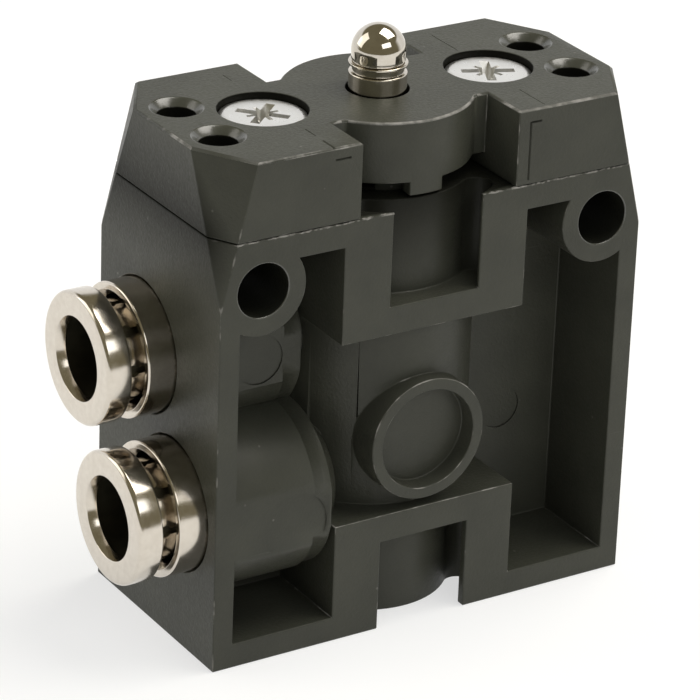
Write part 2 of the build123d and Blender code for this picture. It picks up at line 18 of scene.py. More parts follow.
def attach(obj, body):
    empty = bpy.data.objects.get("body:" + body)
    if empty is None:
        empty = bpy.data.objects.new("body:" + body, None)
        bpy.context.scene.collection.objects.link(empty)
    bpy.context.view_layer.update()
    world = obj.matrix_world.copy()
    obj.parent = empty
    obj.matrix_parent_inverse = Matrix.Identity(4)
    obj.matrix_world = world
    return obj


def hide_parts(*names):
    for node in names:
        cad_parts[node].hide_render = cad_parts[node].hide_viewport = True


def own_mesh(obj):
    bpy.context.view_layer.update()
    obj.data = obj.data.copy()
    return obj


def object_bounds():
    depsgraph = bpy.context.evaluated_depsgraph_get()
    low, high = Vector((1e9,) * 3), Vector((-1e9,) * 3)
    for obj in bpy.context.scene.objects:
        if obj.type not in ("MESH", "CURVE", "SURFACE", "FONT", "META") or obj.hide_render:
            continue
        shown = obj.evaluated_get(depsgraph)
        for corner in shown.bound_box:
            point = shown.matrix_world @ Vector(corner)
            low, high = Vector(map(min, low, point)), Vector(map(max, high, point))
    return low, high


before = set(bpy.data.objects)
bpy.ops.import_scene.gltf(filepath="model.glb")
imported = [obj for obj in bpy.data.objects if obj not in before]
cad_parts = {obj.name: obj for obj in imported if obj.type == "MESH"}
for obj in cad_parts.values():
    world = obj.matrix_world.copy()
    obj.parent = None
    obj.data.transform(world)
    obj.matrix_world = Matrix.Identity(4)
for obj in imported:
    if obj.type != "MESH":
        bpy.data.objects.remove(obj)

MM = 0.001
cad_low, cad_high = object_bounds()
print("Packed box in mm:", [round(v / MM, 2) for v in (*cad_low, *cad_high)])

# %% [markdown]
# ## The camera
# The photograph was taken from the left and a little above, with a long lens, so lines that are
# parallel on the valve stay nearly parallel. The camera is placed by angles round a point that it
# aims at. The shift moves the frame sideways without turning the camera.

# %% Camera at the photograph's angle
VIEW_AZIMUTH = radians(-32.73)
VIEW_ELEVATION = radians(23.80)
VIEW_ROLL = radians(2.28)
VIEW_DISTANCE = 0.2165
VIEW_AIM = Vector((0.81, 1.03, 17.33)) * MM
VIEW_LENS = 205.457
VIEW_SHIFT = (-0.0318, -0.1086)

camera = bpy.data.objects.new("studio_camera", bpy.data.cameras.new("studio_camera"))
bpy.context.scene.collection.objects.link(camera)
bpy.context.scene.camera = camera
backwards = Vector((
    sin(VIEW_AZIMUTH) * cos(VIEW_ELEVATION),
    -cos(VIEW_AZIMUTH) * cos(VIEW_ELEVATION),
    sin(VIEW_ELEVATION),
))
camera.location = VIEW_AIM + backwards * VIEW_DISTANCE
camera.rotation_mode = "QUATERNION"
upright = (-backwards).to_track_quat("-Z", "Y")
camera.rotation_quaternion = upright @ Euler((0, 0, VIEW_ROLL)).to_quaternion()
camera.data.lens = VIEW_LENS
camera.data.shift_x, camera.data.shift_y = VIEW_SHIFT
camera.data.clip_start, camera.data.clip_end = 0.01, 5
print("Camera at", [round(v / MM, 1) for v in camera.location], "mm")

# %% [markdown]
# ## Colours and nodes
# Colours are written as the hex values that a paint program shows. Blender's shaders work with
# linear light, so one function converts them. The others add a node each. An input is either a
# value or the socket of another node, and most of them give the socket with the result, so that
# a material or a tree reads like a short list of what it is made of.

# %% Colour and node helpers


def linear(hex_colour):
    """Turns an sRGB hex colour into the linear values that a shader socket takes."""
    steps = [int(hex_colour[i:i + 2], 16) / 255 for i in (1, 3, 5)]
    return [*((c / 12.92 if c <= 0.04045 else ((c + 0.055) / 1.055) ** 2.4) for c in steps), 1]


def add_node(tree, kind, inputs=None, **settings):
    """Adds a node: settings are its own options, and inputs are values or sockets to link."""
    node = tree.nodes.new(kind)
    for name, setting in settings.items():
        setattr(node, name, setting)
    for name, value in (inputs or {}).items():
        if isinstance(value, bpy.types.NodeSocket):
            tree.links.new(value, node.inputs[name])
        else:
            node.inputs[name].default_value = value
    return node


def calculate(tree, operation, *terms, **settings):
    """A Math node: gives the socket with its result."""
    node = add_node(tree, "ShaderNodeMath", dict(enumerate(terms)), operation=operation, **settings)
    return node.outputs[0]


def combine(tree, x=0, y=0, z=0):
    """A Combine XYZ node: gives the vector's socket."""
    return add_node(tree, "ShaderNodeCombineXYZ", {0: x, 1: y, 2: z}).outputs[0]


def map_range(tree, value, from_min=0, from_max=1, to_min=0, to_max=1, **settings):
    """A Map Range node: gives the socket with its result."""
    node = add_node(tree, "ShaderNodeMapRange", {
        "Value": value, "From Min": from_min, "From Max": from_max, "To Min": to_min,
        "To Max": to_max}, **settings)
    return node.outputs["Result"]


def noise(tree, place, size, detail, roughness=0.5):
    """A Noise Texture node with patches about size mm wide: gives its value's socket."""
    node = add_node(tree, "ShaderNodeTexNoise", {
        "Vector": place, "Scale": 1 / (size * MM), "Detail": detail, "Roughness": roughness})
    return node.outputs["Fac"]


def mix_colours(tree, share, first, second):
    """A Mix node for colours: gives the colour's socket."""
    node = add_node(tree, "ShaderNodeMix", {0: share, 6: first, 7: second}, data_type="RGBA")
    return node.outputs[2]


def two_tones(tree, value, first, second, start, stop=0.7):
    """A Color Ramp node from one hex colour at start to another at stop: gives its socket."""
    ramp = add_node(tree, "ShaderNodeValToRGB", {"Fac": value})
    for element, spot, colour in zip(ramp.color_ramp.elements, (start, stop), (first, second)):
        element.position = spot
        element.color = linear(colour)
    return ramp.outputs["Color"]


def new_material(name):
    """An empty material with its output: gives the material, its node tree and the output."""
    material = bpy.data.materials.new(name)
    material.use_nodes = True
    material.node_tree.nodes.clear()
    output = add_node(material.node_tree, "ShaderNodeOutputMaterial")
    return material, material.node_tree, output


# %% [markdown]
# ## The stage
# The valve stands on a plain white table in front of a white paper backdrop. Polished metal shows
# what is around it, so the surroundings matter as much as the lamps: white table, white paper
# behind, and a dim room above it and behind the photographer. The camera itself sees only white.
# The Light Path node tells these kinds of rays apart.

# %% Table
TABLE_HALF = 0.45
TABLE_GAP = 0.02 * MM

table_mesh = bpy.data.meshes.new("studio_table")
table_mesh.from_pydata(
    [(x * TABLE_HALF, y * TABLE_HALF, cad_low.z - TABLE_GAP)
     for x, y in ((-1, -1), (1, -1), (1, 1), (-1, 1))],
    [], [(0, 1, 2, 3)],
)
table = bpy.data.objects.new("studio_table", table_mesh)
bpy.context.scene.collection.objects.link(table)


def ray_kinds(tree):
    """Two sockets: if a ray comes straight from the camera, and if by a mirror or by glass."""
    rays = add_node(tree, "ShaderNodeLightPath").outputs
    mirrored = calculate(tree, "MAXIMUM", rays["Is Glossy Ray"], rays["Is Transmission Ray"])
    return rays["Is Camera Ray"], mirrored


# What is looked at gets an even glow, while the valve is lit from below by a plain card.
white_card, tree, output = new_material("matt_white_card")
seen = calculate(tree, "MAXIMUM", *ray_kinds(tree))
card = add_node(tree, "ShaderNodeBsdfDiffuse", {"Color": linear("#E2E1DF")})
glow = add_node(tree, "ShaderNodeEmission", {"Color": (1, 1, 1, 1), "Strength": 0.62})
shaded_card = add_node(tree, "ShaderNodeBsdfDiffuse", {"Color": linear("#A8A8A6")})
bright_card = add_node(tree, "ShaderNodeAddShader",
                       {0: glow.outputs[0], 1: shaded_card.outputs[0]})
table_surface = add_node(tree, "ShaderNodeMixShader",
                         {0: seen, 1: card.outputs[0], 2: bright_card.outputs[0]})
tree.links.new(table_surface.outputs[0], output.inputs["Surface"])
table.data.materials.append(white_card)
print("Table of", 2 * TABLE_HALF, "m")

# %% Backdrop and room
ROOM_LEVEL = 0.40
ROOM_COLOUR = "#7A745F"
PAPER_SIDE = Vector((-backwards.x, -backwards.y, 0)).normalized()

# Where the paper fades into the room: across, from its edge inwards, and upwards, from its top.
PAPER_EDGE = (-0.10, 0.30)
PAPER_TOP = (0.54, 0.42)

world = bpy.data.worlds.new("studio_room")
bpy.context.scene.world = world
world.use_nodes = True
world.node_tree.nodes.clear()
tree = world.node_tree
straight, mirrored = ray_kinds(tree)
outwards = add_node(tree, "ShaderNodeTexCoord").outputs["Generated"]
behind = add_node(tree, "ShaderNodeVectorMath", {0: outwards, 1: PAPER_SIDE},
                  operation="DOT_PRODUCT")
height = add_node(tree, "ShaderNodeSeparateXYZ", {0: outwards})
paper_across = map_range(tree, behind.outputs["Value"], *PAPER_EDGE,
                         interpolation_type="SMOOTHSTEP")
paper_up = map_range(tree, height.outputs["Z"], *PAPER_TOP, interpolation_type="SMOOTHSTEP")
paper = calculate(tree, "MULTIPLY", paper_across, paper_up)
around = mix_colours(tree, paper, linear(ROOM_COLOUR), (1, 1, 1, 1))
dim_room = add_node(tree, "ShaderNodeBackground",
                    {"Color": (1, 1, 1, 1), "Strength": ROOM_LEVEL})
in_mirror = add_node(tree, "ShaderNodeBackground", {"Color": around, "Strength": 1})
white = add_node(tree, "ShaderNodeBackground", {"Color": (1, 1, 1, 1), "Strength": 1})
unseen = add_node(tree, "ShaderNodeMixShader",
                  {0: mirrored, 1: dim_room.outputs[0], 2: in_mirror.outputs[0]})
everything = add_node(tree, "ShaderNodeMixShader",
                      {0: straight, 1: unseen.outputs[0], 2: white.outputs[0]})
add_node(tree, "ShaderNodeOutputWorld", {"Surface": everything.outputs[0]})
bpy.context.scene.view_settings.view_transform = "Standard"
print("Room and backdrop:", len(tree.nodes), "nodes")

# %% [markdown]
# ## Soft boxes
# Three soft boxes light the valve: the main one nearly overhead and a little to the right, one in
# front and above, and a weak one behind on the left. Their places are read from the bright
# patches that they make on the plunger's round dome, which works like a tiny convex mirror.

# %% Soft boxes


def softbox(name, direction, distance, width, height, power, turn=0.0, tint="#FFFFFF"):
    """A rectangular lamp that looks at the valve. Distance and sizes in metres, power in watts."""
    lamp = bpy.data.lights.new(name, "AREA")
    lamp.shape = "RECTANGLE"
    lamp.size, lamp.size_y = width, height
    lamp.energy = power
    lamp.color = linear(tint)[:3]
    box = bpy.data.objects.new(name, lamp)
    bpy.context.scene.collection.objects.link(box)
    towards = Vector(direction).normalized()
    box.location = VIEW_AIM + towards * distance
    box.rotation_mode = "QUATERNION"
    box.rotation_quaternion = (
        (-towards).to_track_quat("-Z", "Y") @ Euler((0, 0, radians(turn))).to_quaternion()
    )


softbox("main_softbox", (0.43, -0.08, 0.90), 0.55, 0.38, 0.38, 2.5,
        turn=45, tint="#FFFBF4")
softbox("front_softbox", (0.08, -0.81, 0.56), 0.50, 0.34, 0.16, 0.40)
softbox("back_left_softbox", (-0.69, 0.52, 0.51), 0.60, 0.36, 0.50, 0.9,
        tint="#FFFBF4")
print("Lamps:", *bpy.data.lights.keys())

# %% [markdown]
# ## Housing plastic
# Body and cap are injection moulded in black acetal or nylon. The steel mould is spark eroded,
# so the surface has a fine matt grain, and in strong light the black reads as a warm dark grey.
# Handling leaves paler edges from rubbing, a few short scratches and specks of dust. Grain, slow
# mottling and scratches come from noise, and dust from the middles of scattered cells. The pale
# edges are partly rubbing and partly a painted highlight on front edges that face up, and holes
# and gaps are painted nearly black as painted shade. Both come from two values that are stored
# on the mesh when its edges are rounded.

# %% Moulded plastic


def moulded_plastic(name, tones, grain, bump, shine=0.30, rough_range=(0.36, 0.50)):
    """Plastic in three tones: moulded, mottled, and pale edges from rubbing and painted highlight.

    Grain is the size of the mould's texture in mm, and bump its strength.
    """
    colour, mottle, rubbing_and_highlight_tone = tones
    material, tree, output = new_material(name)
    place = add_node(tree, "ShaderNodeTexCoord").outputs["Object"]
    texture = noise(tree, place, grain, detail=3, roughness=0.6)
    slow = noise(tree, place, size=3.5, detail=5, roughness=0.6)
    tone = two_tones(tree, slow, colour, mottle, start=0.35)

    # Dust: round specks of about a tenth of a millimetre, some two millimetres apart.
    cell = add_node(tree, "ShaderNodeTexVoronoi",
                    {"Vector": place, "Scale": 1 / (2.4 * MM), "Randomness": 1})
    speck = map_range(tree, cell.outputs["Distance"], from_min=0.040, from_max=0.020, to_max=0.35)

    # Scratches: noise stretched forty times along one slanting direction, only its peaks kept.
    slant = add_node(tree, "ShaderNodeMapping",
                     {"Vector": place, "Rotation": (0.5, 0.9, 0.3), "Scale": (1, 40, 40)})
    streak = noise(tree, slant.outputs["Vector"], size=6, detail=2)
    scratch = map_range(tree, streak, from_min=0.75, from_max=0.80, to_max=0.12)

    # Pale edges, from rubbing and from a painted highlight: a patchy noise of about a millimetre
    # breaks them up, but an edge whose stored value is near one stays pale all along.
    edge = add_node(tree, "ShaderNodeAttribute", attribute_name="edge_wear_and_highlight").outputs["Fac"]
    patchy = noise(tree, place, size=0.9, detail=3)
    where = map_range(tree, patchy, from_min=0.44, from_max=0.66)
    reach = calculate(tree, "MULTIPLY_ADD", edge, 2, where)
    rub = calculate(tree, "SUBTRACT", reach, 1, use_clamp=True)
    marks = calculate(tree, "MAXIMUM", speck, scratch)
    pale = calculate(tree, "MAXIMUM", rub, marks)
    bright = mix_colours(tree, pale, tone, linear(rubbing_and_highlight_tone))

    # Painted shade: gaps and holes are painted nearly black, and their reflection is dimmed.
    shade_paint = add_node(tree, "ShaderNodeAttribute", attribute_name="painted_shade").outputs["Fac"]
    relief = add_node(tree, "ShaderNodeBump",
                      {"Height": texture, "Strength": bump, "Distance": 0.02 * MM})
    shader = add_node(tree, "ShaderNodeBsdfPrincipled", {
        "IOR": 1.5, "Base Color": mix_colours(tree, shade_paint, bright, linear("#12120E")),
        "Roughness": map_range(tree, texture, 0.3, 0.7, *rough_range),
        "Specular IOR Level": map_range(tree, shade_paint, to_min=shine, to_max=0.04),
        "Normal": relief.outputs["Normal"]})
    tree.links.new(shader.outputs["BSDF"], output.inputs["Surface"])
    return material


PLASTIC_TONES = ("#393A32", "#414239", "#8B8983")
black_acetal = moulded_plastic("moulded_black_acetal", PLASTIC_TONES, grain=0.17, bump=1.0)

# Polished pins in the mould leave the countersinks and hole mouths shiny.
shiny_acetal = moulded_plastic("pin_polished_black_acetal", PLASTIC_TONES, grain=0.17,
                               bump=0.3, shine=0.9, rough_range=(0.2, 0.26))
print("Plastics:", black_acetal.name, shiny_acetal.name)

# %% [markdown]
# ## Rubber
# The seals are moulded nitrile rubber: deep black, rather dull, with a trace of sheen from the
# grease that they are fitted with. The same recipe as for the housing serves with darker colours
# and a coarser, softer grain.

# %% Rubber
RUBBER_TONES = ("#242422", "#2B2B29", "#383836")
nitrile_rubber = moulded_plastic("moulded_nitrile_rubber", RUBBER_TONES, grain=0.3, bump=0.2)
print("Rubber:", nitrile_rubber.name)

# %% [markdown]
# ## Metals
# The fittings are brass with a thin satin nickel plate, which looks warmer than steel. The screws
# are zinc plated and nearly white, but painted darker and duller in the recess, as painted shade.
# The plunger is turned and polished stainless steel, and what sits inside is plain turned brass.
# The fittings' bores are painted dark, as painted shade. Each has a faint mottling in colour, gloss
# and height.

# %% Metal finishes


def worked_metal(name, tones, rough_range, grain, bump):
    """A metal in two tones with a fine mottled finish: grain in mm, bump its strength."""
    material, tree, output = new_material(name)
    place = add_node(tree, "ShaderNodeTexCoord").outputs["Object"]
    fine = noise(tree, place, grain, detail=4, roughness=0.6)
    relief = add_node(tree, "ShaderNodeBump",
                      {"Height": fine, "Strength": bump, "Distance": 0.01 * MM})
    shader = add_node(tree, "ShaderNodeBsdfPrincipled", {
        "Metallic": 1, "Base Color": two_tones(tree, fine, *tones, start=0.3),
        "Roughness": map_range(tree, fine, 0.3, 0.7, *rough_range),
        "Normal": relief.outputs["Normal"]})
    tree.links.new(shader.outputs["BSDF"], output.inputs["Surface"])
    return material


satin_nickel = worked_metal(
    "satin_nickel_plate", ("#CDC5B9", "#D6CFC4"), (0.13, 0.20), grain=0.4, bump=0.05)
polished_steel = worked_metal(
    "polished_stainless_steel", ("#C3BCB0", "#CFC9BE"), (0.05, 0.09), grain=0.5, bump=0.03)
zinc_plate = worked_metal(
    "bright_zinc_plate", ("#F0F0EE", "#F7F7F6"), (0.26, 0.38), grain=0.25, bump=0.15)
# Painted shade: the screw recess is painted in a darker, duller zinc.
recess_shade_zinc = worked_metal(
    "recess_shade_zinc_plate", ("#DAD9D6", "#EAEAE8"), (0.30, 0.40), grain=0.25, bump=0.10)
spring_wire = worked_metal(
    "drawn_spring_wire", ("#A8A8A6", "#B8B8B6"), (0.25, 0.35), grain=0.3, bump=0.05)
turned_brass = worked_metal(
    "turned_brass", ("#C9A35B", "#D4B06A"), (0.22, 0.32), grain=0.4, bump=0.08)
# Painted shade: the inside of the fingers is painted in a dark metal.
bore_shade_metal = worked_metal(
    "bore_painted_shade_metal", ("#4A483C", "#545144"), (0.50, 0.65), grain=0.4, bump=0.10)
print("Materials so far:", *bpy.data.materials.keys())

# %% [markdown]
# ## Helpers for meshes
# A piece is finished when it is one plain mesh, in metres, in its own place. Modifiers are turned
# into that mesh by asking Blender for the evaluated object, and are then taken away.

# %% From modifiers to a plain mesh in metres


def linked(name, shape):
    """A new object from a bmesh in millimetres, which is freed."""
    mesh = bpy.data.meshes.new(name)
    shape.to_mesh(mesh)
    shape.free()
    piece = bpy.data.objects.new(name, mesh)
    bpy.context.scene.collection.objects.link(piece)
    return piece


def settled(piece):
    """Turns a piece with modifiers into one plain mesh and takes the modifiers away."""
    graph = bpy.context.evaluated_depsgraph_get()
    graph.update()
    plain = bpy.data.meshes.new_from_object(piece.evaluated_get(graph))
    piece.modifiers.clear()
    piece.data = plain
    plain.name = piece.name
    return piece


def cut_away(piece, tool):
    """Cuts a tool's shape out of a piece for good, and takes the tool away."""
    cut = piece.modifiers.new("cut", "BOOLEAN")
    cut.object, cut.operation, cut.solver = tool, "DIFFERENCE", "EXACT"
    settled(piece)
    bpy.data.objects.remove(tool)


def box_of(vertices):
    """The lowest and the highest corner of the box round these vertices."""
    return [Vector(pick(v.co[i] for v in vertices) for i in range(3)) for pick in (min, max)]


def placed(piece, centre=(0, 0, 0), sharp=35):
    """Scales a finished piece from mm to metres, at centre in mm, and shades it smooth."""
    piece.data.transform(Matrix.Scale(MM, 4) @ Matrix.Translation(Vector(centre)))
    piece.data.shade_smooth()
    piece.data.set_sharp_from_angle(angle=radians(sharp))
    even = piece.modifiers.new("even_shading", "WEIGHTED_NORMAL")
    even.keep_sharp = True
    even.weight = 80
    settled(piece)
    low, high = box_of(piece.data.vertices)
    print(piece.name, len(piece.data.polygons), "faces, mm:",
          [round(v / MM, 2) for v in (*low, *high)])
    return piece


def dressed(piece, finish, node, body):
    """Gives a piece its finish, hides its solid, and hangs it on the empty of what it moves with.
    """
    piece.data.materials.clear()
    piece.data.materials.append(finish)
    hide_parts(node)
    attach(piece, body)


# %% [markdown]
# ## Body and cap
# The body is the open moulding with the two round sockets, the barrel and the two U shaped
# frames, and the cap closes its top. A imported solid is a cloud of loose triangles, and its mesh
# is left as it is. So a copy is merged, its flat faces are joined again, and then its edges are
# rounded, because a moulded edge is never razor sharp and it is the small rounding that catches
# the light. How pale an edge is, by rubbing and by a painted highlight, is stored on it too.

# %% Rounded copies of imported solids
MERGE_REACH = 0.0005
FLAT_WITHIN = radians(0.4)
ROUND_ABOVE = radians(24)
EDGE_ROUNDING = 0.075
ROUNDING_STEPS = 3
CROWDED_WIDTH = 2.4 * EDGE_ROUNDING


def merged_copy(node):
    """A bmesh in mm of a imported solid, with its doubles merged and its flat faces joined."""
    shape = bmesh.new()
    shape.from_mesh(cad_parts[node].data)
    bmesh.ops.scale(shape, vec=(1 / MM,) * 3, verts=shape.verts)
    bmesh.ops.remove_doubles(shape, verts=shape.verts, dist=MERGE_REACH)
    bmesh.ops.dissolve_limit(shape, angle_limit=FLAT_WITHIN, verts=shape.verts,
                             edges=shape.edges, delimit={"NORMAL"})
    return shape


def crowded(face, outward_only=False):
    """Says if a face's sharp edges lie close: its width is twice its area over their length."""
    sharp = [e.calc_length() for e in face.edges if len(e.link_faces) == 2
             and e.calc_face_angle() > ROUND_ABOVE and (e.is_convex or not outward_only)]
    return bool(sharp) and 2 * face.calc_area() / sum(sharp) < CROWDED_WIDTH


def rounded_edges(shape, wear_and_highlight_of, shade_of):
    """Rounds every clear edge, and stores two values that the plastic's material reads.

    A crowded face, like a chamfer, has no room for two rounded edges, so it keeps its sharp
    ones. What turns pale is an outward edge: the middle of its rounding, or all of its chamfer.
    The paleness is partly rubbing and partly a painted highlight; the other value is painted
    shade. The two given functions give how much of each, for a vertex in mm.
    """
    narrow = {face for face in shape.faces if crowded(face)}
    edges = [e for e in shape.edges
             if len(e.link_faces) == 2 and e.calc_face_angle() > ROUND_ABOVE
             and not narrow.intersection(e.link_faces)]
    low, high = box_of(shape.verts)
    rounding = bmesh.ops.bevel(shape, geom=edges, offset=EDGE_ROUNDING, offset_type="OFFSET",
                               segments=ROUNDING_STEPS, profile=0.5, affect="EDGES",
                               clamp_overlap=False, miter_outer="SHARP", loop_slide=True)
    round_faces = set(rounding["faces"])
    # The first value is how pale an edge is: rubbing, and a painted highlight on upward edges.
    wear_and_highlight = shape.loops.layers.float.new("edge_wear_and_highlight")
    # The second value is painted shade: holes and gaps are painted dark.
    painted_shade = shape.verts.layers.float.new("painted_shade")
    for vertex in shape.verts:
        # Where roundings meet in a sharp mitre, a corner may leave the box, and is put back.
        vertex.co = [min(max(vertex.co[i], low[i]), high[i]) for i in range(3)]
        vertex[painted_shade] = shade_of(vertex)
    shape.normal_update()
    for face in shape.faces:
        chamfer = face not in round_faces and crowded(face, outward_only=True)
        if not chamfer and face not in round_faces:
            continue
        for corner in face.loops:
            vertex = corner.vert
            others = [edge.other_vert(vertex).co for edge in vertex.link_edges]
            proud = (vertex.co - sum(others, Vector()) / len(others)).dot(vertex.normal) > 0
            if proud and (chamfer or round_faces.issuperset(vertex.link_faces)):
                corner[wear_and_highlight] = wear_and_highlight_of(vertex)
    return len(edges)


# %% Body
NEAR = 0.01
FRONT_FACE, FRONT_ZONE = -6.4, -6.2  # the plane, and how far back its rounded edges reach
PARTING_HEIGHT, PARTING_HALF = 24.4, 0.16
FIXING_HOLES = ((-10.5, 21.6), (10.5, 21.6))

# A fixing hole has a rim with no pale edge and a wall painted dark as shade, given as radii,
# and the wall's half length.
HOLE_RIM, HOLE_WALL, HOLE_HALF = 1.75, 1.52, 6.35

# The room that hands don't reach: half its width and depth, and its foot.
POCKETS_WIDE, POCKETS_DEEP, POCKETS_FOOT = 12.5, 5, 0.5
UPWARDS = 0.3
# Front edges that look up get a painted highlight besides the rubbing.
LIGHT_WEAR, TOP_WEAR_AND_HIGHLIGHT = 0.30, 0.66
# Painted shade: how dark the gaps and the hole insides are painted.
GAP_SHADE, DEEP_SHADE = 0.8, 1.0


def off_fixing_hole(point):
    """How far a point is from the axis of the nearer fixing hole, in mm."""
    return min(Vector((point.x - x, point.z - z)).length for x, z in FIXING_HOLES)


def at_parting(point):
    """Says if a point lies on the open line between body and cap, apart from the front."""
    return abs(point.z - PARTING_HEIGHT) < PARTING_HALF and point.y > FRONT_ZONE


def body_wear_and_highlight(vertex):
    """Upward front edges are palest: rubbing plus a painted highlight. Not pockets, rims, parting.
    """
    point = vertex.co
    deep = (abs(point.y) < POCKETS_DEEP and abs(point.x) < POCKETS_WIDE
            and point.z > POCKETS_FOOT)
    if deep or off_fixing_hole(point) < HOLE_RIM or at_parting(point):
        return 0.0
    return TOP_WEAR_AND_HIGHLIGHT if point.y < FRONT_ZONE and vertex.normal.z > UPWARDS else LIGHT_WEAR


def body_painted_shade(vertex):
    """Painted shade: the fixing holes are painted dark inside, and so is the parting line."""
    in_hole = off_fixing_hole(vertex.co) < HOLE_WALL and abs(vertex.co.y) < HOLE_HALF
    return GAP_SHADE if in_hole or at_parting(vertex.co) else 0.0


body_shape = merged_copy("body")
front_edges = [[v.co.copy() for v in e.verts] for e in body_shape.edges
               if all(v.co.y < FRONT_FACE + NEAR and v.co.z > PARTING_HEIGHT - NEAR
                      for v in e.verts)]
print("Rounded edges:", rounded_edges(body_shape, body_wear_and_highlight, body_painted_shade))

# %% [markdown]
# ## The burr on the parting line
# In the groove under the cap's front edge lies a thin, pale, ragged fin of plastic, squeezed out
# where the mould closed. It is a strip that wanders up and down and grows thick and thin by
# chance, with a fixed seed, so that it comes out the same every time.

# %% Burr
BURR_STEP, BURR_DEEP, BURR_WANDER = 0.16, 0.10, 0.03
BURR_THIN, BURR_THICK = 0.025, 0.055
BURR_DULL, BURR_PALE = 0.35, 0.8

dice = Random(7)
wear_and_highlight = body_shape.loops.layers.float["edge_wear_and_highlight"]
for start, finish in front_edges:
    count = max(1, round((finish - start).length / BURR_STEP))
    rows = []
    for k in range(count + 1):
        middle = dice.uniform(-BURR_WANDER, BURR_WANDER)
        half = dice.uniform(BURR_THIN, BURR_THICK)
        spot = start.lerp(finish, k / count)
        rows.append([body_shape.verts.new(spot + Vector((0, y, middle + z)))
                     for y, z in ((0, -half), (BURR_DEEP, -half), (BURR_DEEP, half), (0, half))])
    strip = [body_shape.faces.new((row[i], after[i], after[(i + 1) % 4], row[(i + 1) % 4]))
             for row, after in zip(rows, rows[1:]) for i in range(4)]
    strip += [body_shape.faces.new(rows[0]), body_shape.faces.new(rows[-1])]
    bmesh.ops.recalc_face_normals(body_shape, faces=strip)
    for face in strip:
        paleness = dice.uniform(BURR_DULL, BURR_PALE)
        for corner in face.loops:
            corner[wear_and_highlight] = paleness
print("Burr along", len(front_edges), "edges")

# %% Finished body
# The shiny mouth of a fixing hole: its radii, and how far from the middle plane it starts.
MOUTH_INNER, MOUTH_OUTER, MOUTH_START = 1.49, 1.60, 6.2

moulded_body = placed(linked("moulded_body", body_shape), sharp=50)
dressed(moulded_body, black_acetal, "body", "housing")
moulded_body.data.materials.append(shiny_acetal)
for face in moulded_body.data.polygons:
    centre = face.center / MM
    at_mouth = MOUTH_INNER < off_fixing_hole(centre) < MOUTH_OUTER
    face.material_index = int(at_mouth and abs(centre.y) > MOUTH_START)

# %% [markdown]
# ## Marks of the mould on the cap
# Where the halves and inserts of the mould meet, they leave fine lines. On this cap there are
# broken lines across the top, and short ones on the front of both blocks. Each is cut as a real
# groove with a Boolean modifier, as wide as a hair, before the cap's edges are rounded. A line is
# given by the centre and the size of the blade that cuts it.

# %% Cap with its mould lines
CAP_TOP, TOP_EDGE = 28.7, 0.15
MOULD_LINES = (
    ((-6.5, -5.75, CAP_TOP), (0.15, 1.16, 0.40)),
    ((-6.5, -3.95, CAP_TOP), (0.09, 1.10, 0.24)),
    ((-6.45, 4.6, CAP_TOP), (0.06, 1.10, 0.14)),
    ((6.8, 4.0, CAP_TOP), (0.06, 2.60, 0.14)),
    ((6.55, -4.9, CAP_TOP), (0.06, 2.40, 0.12)),
    ((-5.95, FRONT_FACE, 28.03), (0.95, 0.30, 0.12)),
    ((5.55, FRONT_FACE, 26.35), (0.14, 0.30, 3.30)),
    ((5.92, FRONT_FACE, 27.96), (0.64, 0.28, 0.12)),
)
SCREW_X = 7.0
HEAD_HOLE_X, HEAD_HOLE_Y = 10.9, 2.2
COUNTERSINK_RADIUS, COUNTERSINK_FOOT = 1.52, 27.9

# The wells of the screws, the plunger's hole and the head fixing holes. Each has its place, the
# radius of a rim with no pale edge, and the radius and the upper end of its inside in painted
# shade.
CAP_OPENINGS = (
    (-SCREW_X, 0, 2.9, 2.8, 28.67), (SCREW_X, 0, 2.9, 2.8, 28.67), (0, 0, 2.0, 1.8, 28.67),
    *((x, y, 1.7, 1.06, 28.30) for x in (-HEAD_HOLE_X, HEAD_HOLE_X)
      for y in (-HEAD_HOLE_Y, HEAD_HOLE_Y)),
)


def cap_wear_and_highlight(vertex):
    """Front half of the top's outline is palest: rubbing plus a painted highlight. Not rims,
    parting.
    """
    point = vertex.co
    at_rim = any(Vector((point.x - x, point.y - y)).length < rim
                 for x, y, rim, _, _ in CAP_OPENINGS)
    if at_rim or at_parting(point):
        return 0.0
    return TOP_WEAR_AND_HIGHLIGHT if point.z > CAP_TOP - TOP_EDGE and point.y < 0 else LIGHT_WEAR


def cap_painted_shade(vertex):
    """Painted shade: the wells of the screws, the holes and the parting line are painted dark."""
    point = vertex.co
    if any(Vector((point.x - x, point.y - y)).length < dark and point.z < upper
           for x, y, _, dark, upper in CAP_OPENINGS):
        return DEEP_SHADE
    return GAP_SHADE if at_parting(point) else 0.0


moulded_cap = linked("moulded_cap", merged_copy("cap"))
for centre, size in MOULD_LINES:
    blade_shape = bmesh.new()
    bmesh.ops.create_cube(blade_shape, size=1,
                          matrix=Matrix.Translation(centre) @ Matrix.Diagonal((*size, 1)))
    cut_away(moulded_cap, linked("mould_line_blade", blade_shape))

cap_shape = bmesh.new()
cap_shape.from_mesh(moulded_cap.data)
bmesh.ops.remove_doubles(cap_shape, verts=cap_shape.verts, dist=MERGE_REACH)
print("Open edges:", sum(not e.is_manifold for e in cap_shape.edges),
      "rounded edges:", rounded_edges(cap_shape, cap_wear_and_highlight, cap_painted_shade))
cap_shape.to_mesh(moulded_cap.data)
cap_shape.free()
placed(moulded_cap, sharp=50)
dressed(moulded_cap, black_acetal, "cap", "housing")
moulded_cap.data.materials.append(shiny_acetal)
for face in moulded_cap.data.polygons:
    x, y, z = face.center / MM
    off_axis = Vector((abs(x) - HEAD_HOLE_X, abs(y) - HEAD_HOLE_Y)).length
    in_countersink = off_axis < COUNTERSINK_RADIUS and COUNTERSINK_FOOT < z < CAP_TOP - NEAR
    face.material_index = int(in_countersink)

